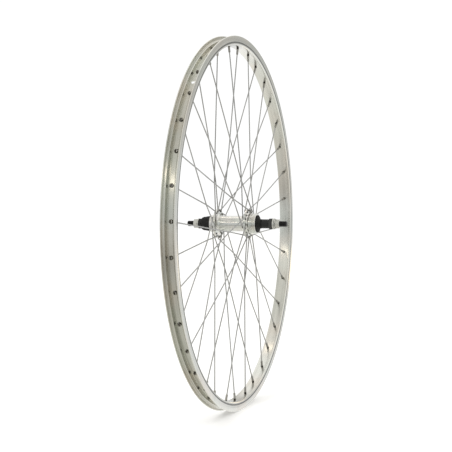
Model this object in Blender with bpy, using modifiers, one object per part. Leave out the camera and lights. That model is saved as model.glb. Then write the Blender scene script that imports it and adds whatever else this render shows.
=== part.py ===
"""A 700C bicycle rear wheel: alloy rim, 36 crossed steel spokes and a nutted hub for a screw-on freewheel.

The frame: the origin is the wheel's centre, +Y is the axle's direction towards the drive side, +Z is up.
An angle round the wheel is counted from +X towards +Z.
"""

from math import cos, pi, radians, sin

import bmesh
import bpy
from mathutils import Matrix, Vector

MM = 0.001
GAP = 0.3 * MM  # between pieces that touch on the real wheel

# Rim: a C-shaped section with a hollow chamber in each side.
RIM_RADIUS = 317.0 * MM  # over the two lips
RIM_WIDTH = 23.4 * MM
BED_RADIUS = 300.8 * MM  # the inner face that the nipples stick out of
WELL_RADIUS = 303.2 * MM  # the floor of the well in the tyre channel
WELL_HALF_WIDTH = 6.2 * MM
BEAD_SEAT_RADIUS = 311.0 * MM  # half of the 622 mm that 700C tyres are made for
GROOVE_DEPTH = 0.6 * MM  # the line round each side, under the brake track
RIM_SEGMENTS = 60
CHAMBER_LOW = BED_RADIUS + 2.0 * MM
CHAMBER_HIGH = BEAD_SEAT_RADIUS - 1.8 * MM
CHAMBER_OUTER_Y = RIM_WIDTH / 2 - 1.5 * MM
CHAMBER_INNER_Y = WELL_HALF_WIDTH + 1.3 * MM
NIPPLE_HOLE_RADIUS = 2.5 * MM
VALVE_HOLE_RADIUS = 4.25 * MM

# Lacing: 36 spokes in three crosses, 18 to a flange, every hole 10 degrees on from the last at the rim.
SPOKE_COUNT = 36
HOLE_STEP = 2 * pi / SPOKE_COUNT
WHEEL_PHASE = radians(1.46)  # how far the wheel is turned, as it stands
LACING_ANGLE = radians(60)  # from a spoke's flange hole to its rim hole
LAST_CROSSING_ANGLE = radians(50)  # from a spoke's flange hole to its outermost crossing
SPOKE_RADIUS = 1.0 * MM
RIM_HOLE_OFFSET = 0.9 * MM  # the rim holes step to the side of their own flange
CROSSING_HALF_GAP = SPOKE_RADIUS + GAP / 2  # interlaced spokes nearly touch
ELBOW_RADIUS = 2.0 * MM
HEAD_RADIUS = 1.9 * MM
HEAD_THICKNESS = 1.0 * MM
NIPPLE_RADIUS = 2.0 * MM
NIPPLE_HEAD_RADIUS = 3.0 * MM
NIPPLE_BELOW_BED = 11.5 * MM
NIPPLE_HEAD_THICKNESS = 1.6 * MM
VALVE_ANGLE = 4.5 * HOLE_STEP + WHEEL_PHASE
SEAM_ANGLE = VALVE_ANGLE + pi  # the rim's joint is opposite the valve

# Hub, along the axle.
FLANGE_RIGHT = 20.95 * MM
FLANGE_LEFT = -33.2 * MM
FLANGE_THICKNESS = 3.2 * MM
FLANGE_RADIUS = 25.5 * MM
FLANGE_HOLE_CIRCLE = 22.5 * MM
FLANGE_HOLE_RADIUS = 1.3 * MM
SHELL_RIGHT = 37.4 * MM
SHELL_LEFT = -45.3 * MM
BARREL_RADIUS = 13.4 * MM
SHELL_BORE_RADIUS = 10.4 * MM
CUP_SEAT_RADIUS = 13.8 * MM
THREAD_RADIUS = 17.45 * MM  # 1.375 in, for the freewheel
SEAT_RADIUS = 18.25 * MM
SEAT_Y = 27.9 * MM  # the shoulder that the freewheel stops against
RELIEF_WIDTH = 2.4 * MM  # the groove between the shoulder and the thread
RELIEF_DEPTH = 0.8 * MM
SHELL_LEFT_RADIUS = 14.8 * MM
SHELL_SEGMENTS = 30

# Bearings: nine quarter-inch balls a side.
BALL_RADIUS = 3.175 * MM
BALL_COUNT = 9
BALL_CIRCLE = 9.4 * MM
BALLS_BELOW_END = 5.5 * MM  # from the shell's end to the balls' plane
RACE_RADIUS = BALL_RADIUS + GAP
CAGE_WIRE = 0.8 * MM

# Axle and what is on it. The frame's ends go between the locknuts and the axle washers.
AXLE_RADIUS = 4.76 * MM  # 3/8 in
AXLE_HALF_LENGTH = 89.0 * MM
BORE_RADIUS = AXLE_RADIUS + GAP
LOCKNUT_FACE = 67.5 * MM  # half of the 135 mm between the locknuts
LOCKNUT_LEFT_ACROSS_FLATS = 17.0 * MM
LOCKNUT_RIGHT_ACROSS_FLATS = 18.0 * MM
AXLE_NUT_ACROSS_FLATS = 15.0 * MM
AXLE_NUT_END = 77.0 * MM
WASHER_RADIUS = 8.8 * MM
LOCK_WASHER_RADIUS = 9.3 * MM
SMALL_SEGMENTS = 20

PALE_ALLOY = (0.75, 0.75, 0.72)
GREY_STEEL = (0.45, 0.45, 0.43)
ZINC = (0.62, 0.62, 0.60)
BLACK = (0.02, 0.02, 0.02)
DARK_GREY = (0.08, 0.08, 0.08)


def clear_scene():
    for old in list(bpy.data.objects):
        bpy.data.objects.remove(old)


def new_collection(name):
    collection = bpy.data.collections.new(name)
    bpy.context.scene.collection.children.link(collection)
    return collection


def material(name, colour, roughness, metallic):
    made = bpy.data.materials.new(name)
    made.use_nodes = True
    shader = made.node_tree.nodes["Principled BSDF"]
    shader.inputs["Base Color"].default_value = (*colour, 1)
    shader.inputs["Roughness"].default_value = roughness
    shader.inputs["Metallic"].default_value = metallic
    return made


def put(obj, finish, hinge):
    """Adds a finished object to the wheel, turning with the empty on its axis."""
    wheel_collection.objects.link(obj)
    obj.data.materials.append(finish)
    obj.parent = hinge
    return obj


def as_cutter(obj):
    """Adds an object that only shapes others."""
    cutter_collection.objects.link(obj)
    obj.hide_render = True
    obj.display_type = "WIRE"
    return obj


def turned(name, loops, segments=SMALL_SEGMENTS):
    """A solid of revolution about the axle.

    Each loop is a list of (radius, y) that runs down its outer side, from +Y to -Y, and back up inside.
    A hollow's loop runs the other way round. A loop that starts on the axis is left open there.
    """
    mesh = bpy.data.meshes.new(name)
    points, edges = [], []
    for loop in loops:
        first = len(points)
        points += [(radius, 0, y) for radius, y in loop]
        edges += [(first + i, first + i + 1) for i in range(len(loop) - 1)]
        if loop[0][0] > 0:
            edges.append((len(points) - 1, first))
    mesh.from_pydata(points, edges, [])
    obj = bpy.data.objects.new(name, mesh)
    obj.rotation_euler = (-pi / 2, 0, 0)
    screw = obj.modifiers.new("turn", "SCREW")
    screw.axis = "Z"
    screw.steps = segments
    screw.render_steps = segments
    screw.use_merge_vertices = True
    screw.merge_threshold = 0.00001
    screw.use_smooth_shade = True
    return obj


def mirrored(loop):
    """The same turned outline on the other side of the wheel's mid plane."""
    return [(radius, -y) for radius, y in reversed(loop)]


def combine(obj, other, operation):
    boolean = obj.modifiers.new(other.name, "BOOLEAN")
    boolean.operation = operation
    boolean.object = other
    return obj


def cylinder_between(mesh, start, end, radius, segments):
    """Adds a closed cylinder from start to end to a bmesh."""
    along = end - start
    turn = along.to_track_quat("Z", "Y").to_matrix().to_4x4()
    bmesh.ops.create_cone(
        mesh,
        cap_ends=True,
        segments=segments,
        radius1=radius,
        radius2=radius,
        depth=along.length,
        matrix=Matrix.Translation((start + end) / 2) @ turn,
    )


def from_bmesh(name, mesh):
    data = bpy.data.meshes.new(name)
    mesh.to_mesh(data)
    mesh.free()
    return bpy.data.objects.new(name, data)


def on_wheel(radius, angle, y=0.0):
    return Vector((radius * cos(angle), y, radius * sin(angle)))


# ---------------------------------------------------------------- rim


def rim_outline():
    """The rim's section over its right half, from the middle of the bed round to the middle of the well."""
    side = RIM_WIDTH / 2
    return [
        (BED_RADIUS, 9.0 * MM),
        (BED_RADIUS + 1.0 * MM, side - 1.2 * MM),
        (BED_RADIUS + 3.6 * MM, side - 0.1 * MM),
        (BED_RADIUS + 4.2 * MM, side - GROOVE_DEPTH),
        (BED_RADIUS + 5.2 * MM, side - GROOVE_DEPTH),
        (BED_RADIUS + 5.6 * MM, side),
        (RIM_RADIUS - 0.4 * MM, side),
        (RIM_RADIUS, side - 0.4 * MM),
        (RIM_RADIUS, side - 1.2 * MM),
        (RIM_RADIUS - 1.2 * MM, side - 1.6 * MM),
        (BEAD_SEAT_RADIUS, side - 1.4 * MM),
        (BEAD_SEAT_RADIUS - 0.4 * MM, WELL_HALF_WIDTH + 0.3 * MM),
        (WELL_RADIUS + 0.9 * MM, WELL_HALF_WIDTH),
        (WELL_RADIUS, WELL_HALF_WIDTH - 0.7 * MM),
    ]


def chamber_loop(inset):
    """One side chamber's section, made smaller all round by inset, running down its outer side."""
    low, high = CHAMBER_LOW + inset, CHAMBER_HIGH - inset
    near, far = CHAMBER_INNER_Y + inset, CHAMBER_OUTER_Y - inset
    return [(high, far), (high, near), (low, near), (low, far)]


def at_seam(radius):
    """The place on the rim's joint at a radius, with local X pointing outwards."""
    return Matrix.Translation(on_wheel(radius, SEAM_ANGLE)) @ Matrix.Rotation(-SEAM_ANGLE, 4, "Y")


def make_rim():
    half = rim_outline()
    # From the right lip over to the left lip on the tyre's side, and back along the bed.
    tyre_side = half[8:] + mirrored(half[8:])
    bed_side = mirrored(half[:8]) + half[:8]
    chamber = list(reversed(chamber_loop(0)))
    rim = turned("rim", [tyre_side + bed_side, chamber, mirrored(chamber)], RIM_SEGMENTS)

    holes = bmesh.new()
    for k in range(SPOKE_COUNT):
        side = 1 if k % 2 == 0 else -1
        angle = k * HOLE_STEP + WHEEL_PHASE
        start = on_wheel(BED_RADIUS - 3 * MM, angle, side * RIM_HOLE_OFFSET)
        end = on_wheel(WELL_RADIUS + 2 * MM, angle, side * RIM_HOLE_OFFSET)
        cylinder_between(holes, start, end, NIPPLE_HOLE_RADIUS, 8)
    cylinder_between(
        holes,
        on_wheel(BED_RADIUS - 3 * MM, VALVE_ANGLE),
        on_wheel(WELL_RADIUS + 2 * MM, VALVE_ANGLE),
        VALVE_HOLE_RADIUS,
        16,
    )
    combine(rim, as_cutter(from_bmesh("rim_holes", holes)), "DIFFERENCE")

    seam = bmesh.new()
    bmesh.ops.create_cube(seam, size=1)
    seam_size = Matrix.Diagonal((30 * MM, 30 * MM, GAP, 1))
    seam.transform(at_seam(BED_RADIUS + 8 * MM) @ seam_size)
    combine(rim, as_cutter(from_bmesh("rim_seam", seam)), "DIFFERENCE")
    return rim


def make_joint_pin(name, side):
    """The insert that lies in one side chamber across the rim's joint."""
    loop = chamber_loop(GAP)
    loop = loop if side > 0 else mirrored(loop)
    pin = turned(name, [loop], RIM_SEGMENTS)
    block = bmesh.new()
    bmesh.ops.create_cube(block, size=1)
    size = Matrix.Diagonal((40 * MM, 40 * MM, 50 * MM, 1))
    block.transform(at_seam(BED_RADIUS) @ size)
    return combine(pin, as_cutter(from_bmesh(name + "_length", block)), "INTERSECT")


# ---------------------------------------------------------------- spokes


def spoke_route(k):
    """(point, radius) along spoke k, from its head in the flange to its nipple's head in the rim."""
    right = k % 2 == 0
    rim_angle = k * HOLE_STEP + WHEEL_PHASE
    # Neighbours on a flange lean opposite ways, and leave it on opposite faces.
    leans_forward = k % 4 in (0, 3)
    lean = LACING_ANGLE if leans_forward else -LACING_ANGLE
    hole_angle = rim_angle - lean
    outboard = 1 if right else -1
    leaves = -outboard if leans_forward else outboard
    flange_y = FLANGE_RIGHT if right else FLANGE_LEFT
    rim_y = outboard * RIM_HOLE_OFFSET

    hole = on_wheel(FLANGE_HOLE_CIRCLE, hole_angle)
    bed = on_wheel(BED_RADIUS, rim_angle)
    along = (bed - hole).normalized()
    across = Vector((0, leaves, 0))
    centre = Vector((0, flange_y, 0))
    face = FLANGE_THICKNESS / 2
    lies_at = face + SPOKE_RADIUS + 0.7 * MM  # the spoke's centre line clears the flange

    def through_hole(depth):
        return hole + centre + across * depth

    route = [
        (through_hole(-face - GAP - HEAD_THICKNESS), HEAD_RADIUS),
        (through_hole(-face - GAP - 0.2 * MM), HEAD_RADIUS),
        (through_hole(-face - GAP), SPOKE_RADIUS),
    ]
    for bend in (0, pi / 4, pi / 2):
        depth = lies_at - ELBOW_RADIUS * (1 - sin(bend))
        route.append((through_hole(depth) + along * ELBOW_RADIUS * (1 - cos(bend)), SPOKE_RADIUS))

    # The outermost crossing, where the outer spoke passes inside its partner.
    turn = lean / abs(lean) * LAST_CROSSING_ANGLE
    ray = on_wheel(1, hole_angle + turn)
    hole_side, bed_side = ray.cross(hole).y, ray.cross(bed).y
    share = hole_side / (hole_side - bed_side)
    crossing = hole.lerp(bed, share)
    crossing.y = flange_y + (rim_y - flange_y) * share - leaves * CROSSING_HALF_GAP
    route.append((crossing, SPOKE_RADIUS))

    seat = bed + Vector((0, rim_y, 0))
    axis = (seat - crossing).normalized()
    head = WELL_RADIUS - BED_RADIUS + 0.8 * MM  # past the bed, clear of the well's floor
    route += [
        (seat - axis * NIPPLE_BELOW_BED, SPOKE_RADIUS),
        (seat - axis * (NIPPLE_BELOW_BED - 0.6 * MM), NIPPLE_RADIUS),
        (seat + axis * head, NIPPLE_RADIUS),
        (seat + axis * (head + 0.1 * MM), NIPPLE_HEAD_RADIUS),
        (seat + axis * (head + NIPPLE_HEAD_THICKNESS), NIPPLE_HEAD_RADIUS),
    ]
    return route


def make_spoke(name, k):
    """A J-bend spoke and the nipple screwed on its end, as one piece of wire of changing thickness."""
    curve = bpy.data.curves.new(name, "CURVE")
    curve.dimensions = "3D"
    curve.bevel_depth = SPOKE_RADIUS
    curve.bevel_resolution = 1
    curve.use_fill_caps = True
    route = spoke_route(k)
    spline = curve.splines.new("POLY")
    spline.points.add(len(route) - 1)
    for point, (place, radius) in zip(spline.points, route):
        point.co = (*place, 1)
        point.radius = radius / SPOKE_RADIUS
    return bpy.data.objects.new(name, curve)


# ---------------------------------------------------------------- hub shell and bearings


def make_hub_shell():
    half = FLANGE_THICKNESS / 2
    bevel = 0.7 * MM
    neck = 15.6 * MM  # the barrel's radius where it meets a flange

    def flange(y):
        return [
            (FLANGE_RADIUS - bevel, y + half),
            (FLANGE_RADIUS, y + half - bevel),
            (FLANGE_RADIUS, y - half + bevel),
            (FLANGE_RADIUS - bevel, y - half),
        ]

    cup_depth = BALLS_BELOW_END + 5.3 * MM
    outline = [
        (CUP_SEAT_RADIUS, SHELL_RIGHT),
        (THREAD_RADIUS - 0.6 * MM, SHELL_RIGHT),
        (THREAD_RADIUS, SHELL_RIGHT - 0.8 * MM),
        (THREAD_RADIUS, SEAT_Y + RELIEF_WIDTH + 0.4 * MM),
        (THREAD_RADIUS - RELIEF_DEPTH, SEAT_Y + RELIEF_WIDTH),
        (THREAD_RADIUS - RELIEF_DEPTH, SEAT_Y),
        (SEAT_RADIUS, SEAT_Y),
        (SEAT_RADIUS, FLANGE_RIGHT + half),
        *flange(FLANGE_RIGHT),
        (neck, FLANGE_RIGHT - half),
        (BARREL_RADIUS + 0.8 * MM, FLANGE_RIGHT - half - 4.5 * MM),
        (BARREL_RADIUS, FLANGE_RIGHT - half - 10 * MM),
        (BARREL_RADIUS, FLANGE_LEFT + half + 10 * MM),
        (BARREL_RADIUS + 0.8 * MM, FLANGE_LEFT + half + 4.5 * MM),
        (neck, FLANGE_LEFT + half),
        *flange(FLANGE_LEFT),
        (SHELL_LEFT_RADIUS, FLANGE_LEFT - half),
        (SHELL_LEFT_RADIUS, SHELL_LEFT),
        (CUP_SEAT_RADIUS, SHELL_LEFT),
        (CUP_SEAT_RADIUS, SHELL_LEFT + cup_depth),
        (SHELL_BORE_RADIUS, SHELL_LEFT + cup_depth),
        (SHELL_BORE_RADIUS, SHELL_RIGHT - cup_depth),
        (CUP_SEAT_RADIUS, SHELL_RIGHT - cup_depth),
    ]
    shell = turned("hub_shell", [outline], SHELL_SEGMENTS)

    holes = bmesh.new()
    for k in range(SPOKE_COUNT):
        y = FLANGE_RIGHT if k % 2 == 0 else FLANGE_LEFT
        angle = k * HOLE_STEP + WHEEL_PHASE
        start = on_wheel(FLANGE_HOLE_CIRCLE, angle, y - 3 * MM)
        end = on_wheel(FLANGE_HOLE_CIRCLE, angle, y + 3 * MM)
        cylinder_between(holes, start, end, FLANGE_HOLE_RADIUS, 6)
    return combine(shell, as_cutter(from_bmesh("flange_holes", holes)), "DIFFERENCE")


def on_side(loop, side, ball_plane):
    """A bearing outline drawn outwards from the balls' plane, moved to its own side of the hub."""
    placed = [(radius, ball_plane + out) for radius, out in loop]
    return placed if side > 0 else mirrored(placed)


def race_arc(start, end, points):
    """Points of the ball race, by the angle from the axle's direction outwards, away from the axle."""
    steps = [start + (end - start) * i / (points - 1) for i in range(points)]
    return [(BALL_CIRCLE + RACE_RADIUS * sin(a), RACE_RADIUS * cos(a)) for a in steps]


def make_cup(name, side, ball_plane):
    outer = CUP_SEAT_RADIUS - GAP
    race = race_arc(radians(170), radians(90), 4)
    loop = [(BALL_CIRCLE + RACE_RADIUS, 3.4 * MM), (outer, 3.4 * MM), (outer, -5.0 * MM)]
    loop += [(8.6 * MM, -5.0 * MM), (8.6 * MM, -3.6 * MM), *race]
    return turned(name, [on_side(loop, side, ball_plane)])


def make_cone(name, side, ball_plane, end_y):
    """The cone screws on the axle, and its race holds the balls out against the cup."""
    race = race_arc(radians(-20), radians(-90), 4)
    nose = BALL_CIRCLE - RACE_RADIUS
    end = abs(end_y) - ball_plane
    loop = [(BORE_RADIUS, end), (7.4 * MM, end), (7.4 * MM, 6.2 * MM), (8.4 * MM, 5.6 * MM)]
    loop += [(8.4 * MM, 3.6 * MM), *race, (nose, -1.5 * MM), (BORE_RADIUS, -1.5 * MM)]
    return turned(name, [on_side(loop, side, ball_plane)])


def make_dust_cap(name, side, ball_plane):
    inner, outer = 8.8 * MM, CUP_SEAT_RADIUS - GAP
    loop = [(inner, 5.0 * MM), (outer, 5.0 * MM), (outer, 4.1 * MM), (inner, 4.1 * MM)]
    return turned(name, [on_side(loop, side, ball_plane)])


def make_ball_cage(name, side, ball_plane):
    """Nine balls and the wire ring that spaces them."""
    balls = bmesh.new()
    for i in range(BALL_COUNT):
        place = Matrix.Translation(on_wheel(BALL_CIRCLE, 2 * pi * i / BALL_COUNT, side * ball_plane))
        upright = Matrix.Rotation(pi / 2, 4, "X")
        bmesh.ops.create_uvsphere(
            balls, u_segments=6, v_segments=4, radius=BALL_RADIUS, matrix=place @ upright
        )
    centre = BALL_RADIUS - CAGE_WIRE
    loop = [
        (BALL_CIRCLE - CAGE_WIRE, centre + CAGE_WIRE),
        (BALL_CIRCLE + CAGE_WIRE, centre + CAGE_WIRE),
        (BALL_CIRCLE + CAGE_WIRE, centre - CAGE_WIRE),
        (BALL_CIRCLE - CAGE_WIRE, centre - CAGE_WIRE),
    ]
    cage = turned(name, [on_side(loop, side, ball_plane)], 2 * BALL_COUNT)
    return combine(cage, as_cutter(from_bmesh(name + "_balls", balls)), "UNION")


# ---------------------------------------------------------------- axle pieces


def make_ring(name, outer, low, high, inner=BORE_RADIUS):
    loop = [(inner, high), (outer, high), (outer, low), (inner, low)]
    return turned(name, [loop])


def make_nut(name, across_flats, low, high):
    """A hexagon with its corners turned off at both ends, bored for the axle."""
    flat = across_flats / 2
    corner = flat / cos(pi / 6)
    drop = (corner - flat) * 0.577  # a 30 degree chamfer
    loop = [
        (BORE_RADIUS, high),
        (flat, high),
        (corner, high - drop),
        (corner, low + drop),
        (flat, low),
        (BORE_RADIUS, low),
    ]
    nut = turned(name, [loop], 24)
    prism = bmesh.new()
    start, end = Vector((0, low - MM, 0)), Vector((0, high + MM, 0))
    cylinder_between(prism, start, end, corner, 6)
    return combine(nut, as_cutter(from_bmesh(name + "_flats", prism)), "INTERSECT")


def make_axle():
    chamfer = 1.2 * MM
    loop = [
        (0, AXLE_HALF_LENGTH),
        (AXLE_RADIUS - chamfer, AXLE_HALF_LENGTH),
        (AXLE_RADIUS, AXLE_HALF_LENGTH - chamfer),
    ]
    return turned("axle", [loop + mirrored(loop)])


def make_boot_left():
    """The rubber boot that covers the left cone, narrowing towards the locknut."""
    wide, narrow = SHELL_LEFT - GAP, -62.0 * MM
    loop = [
        (13.3 * MM, wide),
        (13.5 * MM, wide - 0.8 * MM),
        (11.1 * MM, narrow + 0.9 * MM),
        (10.6 * MM, narrow),
        (9.3 * MM, narrow),
        (11.9 * MM, wide),
    ]
    return turned("boot_left", [loop], 24)


def make_seal_right():
    """The flared seal that covers the right bearing, open towards the hub."""
    wide, narrow = SHELL_RIGHT + GAP, 45.5 * MM
    loop = [
        (BORE_RADIUS, narrow),
        (7.9 * MM, narrow),
        (8.1 * MM, narrow - 3.0 * MM),
        (8.9 * MM, narrow - 4.3 * MM),
        (11.6 * MM, narrow - 5.5 * MM),
        (14.3 * MM, wide + 1.2 * MM),
        (14.8 * MM, wide + 0.7 * MM),
        (14.8 * MM, wide),
        (13.6 * MM, wide),
        (11.2 * MM, wide + 1.1 * MM),
        (8.4 * MM, wide + 2.3 * MM),
        (7.7 * MM, wide + 3.1 * MM),
        (7.7 * MM, wide + 4.0 * MM),
        (BORE_RADIUS, wide + 4.0 * MM),
    ]
    return turned("seal_right", [loop], 24)


def main():
    alloy = material("polished_alloy", PALE_ALLOY, 0.25, 1.0)
    steel = material("spoke_steel", GREY_STEEL, 0.35, 1.0)
    zinc = material("zinc_plate", ZINC, 0.3, 1.0)
    black_steel = material("black_steel", BLACK, 0.45, 0.6)
    dark_steel = material("dark_grey_steel", DARK_GREY, 0.4, 0.6)
    rubber = material("black_rubber", BLACK, 0.7, 0.0)

    axle_frame = bpy.data.objects.new("axle_frame", None)
    wheel_hinge = bpy.data.objects.new("wheel_hinge", None)
    cage_hinges = {side: bpy.data.objects.new(f"cage_hinge_{side}", None) for side in ("right", "left")}
    for empty in (axle_frame, wheel_hinge, *cage_hinges.values()):
        wheel_collection.objects.link(empty)

    put(make_rim(), alloy, wheel_hinge)
    put(make_joint_pin("rim_joint_pin_right", 1), steel, wheel_hinge)
    put(make_joint_pin("rim_joint_pin_left", -1), steel, wheel_hinge)
    for k in range(SPOKE_COUNT):
        side = "right" if k % 2 == 0 else "left"
        put(make_spoke(f"spoke_{side}_{k // 2 + 1:02d}", k), steel, wheel_hinge)
    put(make_hub_shell(), alloy, wheel_hinge)

    bearing_sides = {
        "right": (1, SHELL_RIGHT - BALLS_BELOW_END, 41.4 * MM),
        "left": (-1, -SHELL_LEFT - BALLS_BELOW_END, -57.0 * MM),
    }
    for word, (side, ball_plane, cone_end) in bearing_sides.items():
        put(make_cup(f"bearing_cup_{word}", side, ball_plane), steel, wheel_hinge)
        put(make_dust_cap(f"dust_cap_{word}", side, ball_plane), zinc, wheel_hinge)
        put(make_ball_cage(f"ball_cage_{word}", side, ball_plane), steel, cage_hinges[word])
        put(make_cone(f"cone_{word}", side, ball_plane, cone_end), steel, axle_frame)

    put(make_axle(), black_steel, axle_frame)
    put(make_boot_left(), rubber, axle_frame)
    put(make_seal_right(), rubber, axle_frame)
    put(make_ring("spacer_left", 8.5 * MM, -62.0 * MM, -57.3 * MM), dark_steel, axle_frame)
    put(make_ring("spacer_tube_right", 7.8 * MM, 45.8 * MM, 58.3 * MM), black_steel, axle_frame)
    put(make_nut("locknut_left", LOCKNUT_LEFT_ACROSS_FLATS, -LOCKNUT_FACE, -62.3 * MM), black_steel, axle_frame)
    put(make_nut("locknut_right", LOCKNUT_RIGHT_ACROSS_FLATS, 58.6 * MM, 64.5 * MM), dark_steel, axle_frame)
    put(make_ring("lock_washer_right", LOCK_WASHER_RADIUS, 64.8 * MM, LOCKNUT_FACE), zinc, axle_frame)

    washer_low, washer_high = LOCKNUT_FACE + GAP, LOCKNUT_FACE + 2.1 * MM
    nut_low = washer_high + GAP
    put(make_ring("axle_washer_right", WASHER_RADIUS, washer_low, washer_high), zinc, axle_frame)
    put(make_ring("axle_washer_left", WASHER_RADIUS, -washer_high, -washer_low), zinc, axle_frame)
    put(make_nut("axle_nut_right", AXLE_NUT_ACROSS_FLATS, nut_low, AXLE_NUT_END), zinc, axle_frame)
    put(make_nut("axle_nut_left", AXLE_NUT_ACROSS_FLATS, -AXLE_NUT_END, -nut_low), zinc, axle_frame)


clear_scene()
wheel_collection = new_collection("bicycle_rear_wheel")
cutter_collection = new_collection("cutters")
main()
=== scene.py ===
from math import atan2, cos, hypot, pi, radians, sin, tan

import bmesh
import bpy
from mathutils import Matrix, Vector


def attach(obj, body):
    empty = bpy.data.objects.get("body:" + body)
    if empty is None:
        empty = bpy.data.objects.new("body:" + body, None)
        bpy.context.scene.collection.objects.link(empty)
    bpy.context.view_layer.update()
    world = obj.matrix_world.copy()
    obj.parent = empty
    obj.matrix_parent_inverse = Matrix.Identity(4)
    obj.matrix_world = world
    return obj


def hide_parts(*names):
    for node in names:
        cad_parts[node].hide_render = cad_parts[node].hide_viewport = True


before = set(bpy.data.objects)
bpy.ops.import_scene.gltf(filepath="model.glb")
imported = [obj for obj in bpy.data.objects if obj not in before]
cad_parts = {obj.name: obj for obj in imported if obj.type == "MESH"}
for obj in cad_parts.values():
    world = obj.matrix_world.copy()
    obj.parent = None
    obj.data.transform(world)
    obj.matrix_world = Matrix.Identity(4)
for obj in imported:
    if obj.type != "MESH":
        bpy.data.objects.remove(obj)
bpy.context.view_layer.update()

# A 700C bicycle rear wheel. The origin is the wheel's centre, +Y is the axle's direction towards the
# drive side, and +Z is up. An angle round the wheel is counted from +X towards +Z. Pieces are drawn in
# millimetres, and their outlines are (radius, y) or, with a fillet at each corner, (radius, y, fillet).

MM = 0.001
INCH = 25.4

# Camera: on the wheel's drive side, nearly in the wheel's plane.
CAMERA_AZIMUTH = radians(108.997)
CAMERA_ELEVATION = radians(1.091)
CAMERA_DISTANCE = 1.8782
CAMERA_TARGET = Vector((0, -0.01945, -0.00407))
LENS = 87.18

# Rim.
SPOKE_COUNT = 36
HOLE_STEP = 2 * pi / SPOKE_COUNT
WHEEL_PHASE = radians(1.46)
BED_RADIUS, BED_HALF = 300.8, 8.6
WELL_RADIUS, WELL_HALF = 303.2, 5.0
RIM_HOLE_OFFSET, RIM_HOLE_RADIUS = 0.9, 2.35
RIM_SECTORS, RIM_COLUMNS, RIM_ROWS = 2 * SPOKE_COUNT, 8, 8
VALVE_SECTOR = 9
SEAM_SECTOR = VALVE_SECTOR + RIM_SECTORS // 2
SEAM_ANGLE = SEAM_SECTOR * HOLE_STEP / 2 + WHEEL_PHASE

# Spokes.
LACING_ANGLE = radians(60)
LAST_CROSSING_ANGLE = radians(50)
SPOKE_RADIUS = 1.0

# Hub and axle.
FLANGE_RIGHT, FLANGE_LEFT = 20.95, -33.2
FLANGE_HALF = 1.6
FLANGE_FOOT, FLANGE_SHOULDER, FLANGE_RADIUS = 20.2, 24.7, 25.45
FLANGE_HOLE_CIRCLE, FLANGE_HOLE_RADIUS = 22.5, 1.22
FLANGE_COLUMNS, FLANGE_ROWS = 4, 6
SHELL_RIGHT, SHELL_LEFT = 37.4, -45.3
CUP_DEPTH, CUP_BORE = 10.8, 13.8
SEAT_Y = 27.9
THREAD_RADIUS = 17.45
THREAD_LOW, THREAD_HIGH = SEAT_Y + 2.8, SHELL_RIGHT - 0.9
FREEWHEEL_PITCH, AXLE_PITCH = INCH / 24, INCH / 26
AXLE_RADIUS, AXLE_END = 4.76, 88.95
NUT_BORE = 4.95
PLAIN_BORE = 4.98
BALL_CIRCLE, BALL_RADIUS, BALL_COUNT = 9.4, 3.175, 9
BALL_PLANES = {"right": 31.9, "left": 39.8}
CONE_ENDS = {"right": 41.35, "left": 56.9}
SIDES = (("right", 1), ("left", -1))

# Nuts on the axle: (size across flats, low y, high y).
LOCKNUT_LEFT, LOCKNUT_RIGHT = (17, -67.5, -62.35), (18, 58.65, 64.45)
NUT_LEFT, NUT_RIGHT = (15, -76.95, -69.9), (15, 69.9, 76.95)
# Washers and spacers: (low y, high y, outer radius).
LOCK_WASHER = (64.8, 67.5, 9.25)
WASHER_LEFT, WASHER_RIGHT = (-69.6, -67.8, 8.75), (67.8, 69.6, 8.75)
SPACER_LEFT, SPACER_RIGHT = (-61.95, -57.4, 8.45), (45.85, 58.25, 7.75)


# ---- camera


def add_object(name, data):
    obj = bpy.data.objects.new(name, data)
    bpy.context.scene.collection.objects.link(obj)
    return obj


def aimed(name, data, place, target, front="-Z"):
    """An object at place, with its front towards the target."""
    obj = add_object(name, data)
    obj.location = place
    obj.rotation_mode = "QUATERNION"
    obj.rotation_quaternion = (Vector(target) - Vector(place)).to_track_quat(front, "Y")
    return obj


def make_camera():
    data = bpy.data.cameras.new("camera")
    data.lens = LENS
    data.sensor_width = 36
    data.clip_start, data.clip_end = 0.05, 100
    level = Vector((sin(CAMERA_AZIMUTH), -cos(CAMERA_AZIMUTH), 0)) * cos(CAMERA_ELEVATION)
    back = level + Vector((0, 0, sin(CAMERA_ELEVATION)))
    place = CAMERA_TARGET + back * CAMERA_DISTANCE
    bpy.context.scene.camera = aimed("camera", data, place, CAMERA_TARGET)


# ---- shapes


def on_wheel(radius, angle, y=0.0):
    return Vector((radius * cos(angle), y, radius * sin(angle)))


def full_turn(count):
    return [2 * pi * i / count for i in range(count)]


def finish_mesh(name, points, faces, sharp=35, solid_faces=None):
    """An object with shared corners merged and smooth shading up to the sharp angle.

    Faces after the first solid_faces bound hollows inside it, and face into them.
    """
    mesh = bpy.data.meshes.new(name)
    mesh.from_pydata([Vector(p) * MM for p in points], [], faces)
    work = bmesh.new()
    work.from_mesh(mesh)
    hollow = list(work.faces)[solid_faces:] if solid_faces else []
    bmesh.ops.remove_doubles(work, verts=work.verts, dist=0.002 * MM)
    bmesh.ops.recalc_face_normals(work, faces=work.faces)
    bmesh.ops.reverse_faces(work, faces=hollow)
    work.to_mesh(mesh)
    work.free()
    mesh.shade_smooth()
    mesh.set_sharp_from_angle(angle=radians(sharp))
    return add_object(name, mesh)


def loop_faces(a, b, closed=True):
    """The faces between two rows of point numbers. closed joins each row's last point to its first."""
    size = len(a)
    spans = size if closed else size - 1
    return [(a[i], a[(i + 1) % size], b[(i + 1) % size], b[i]) for i in range(spans)]


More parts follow.
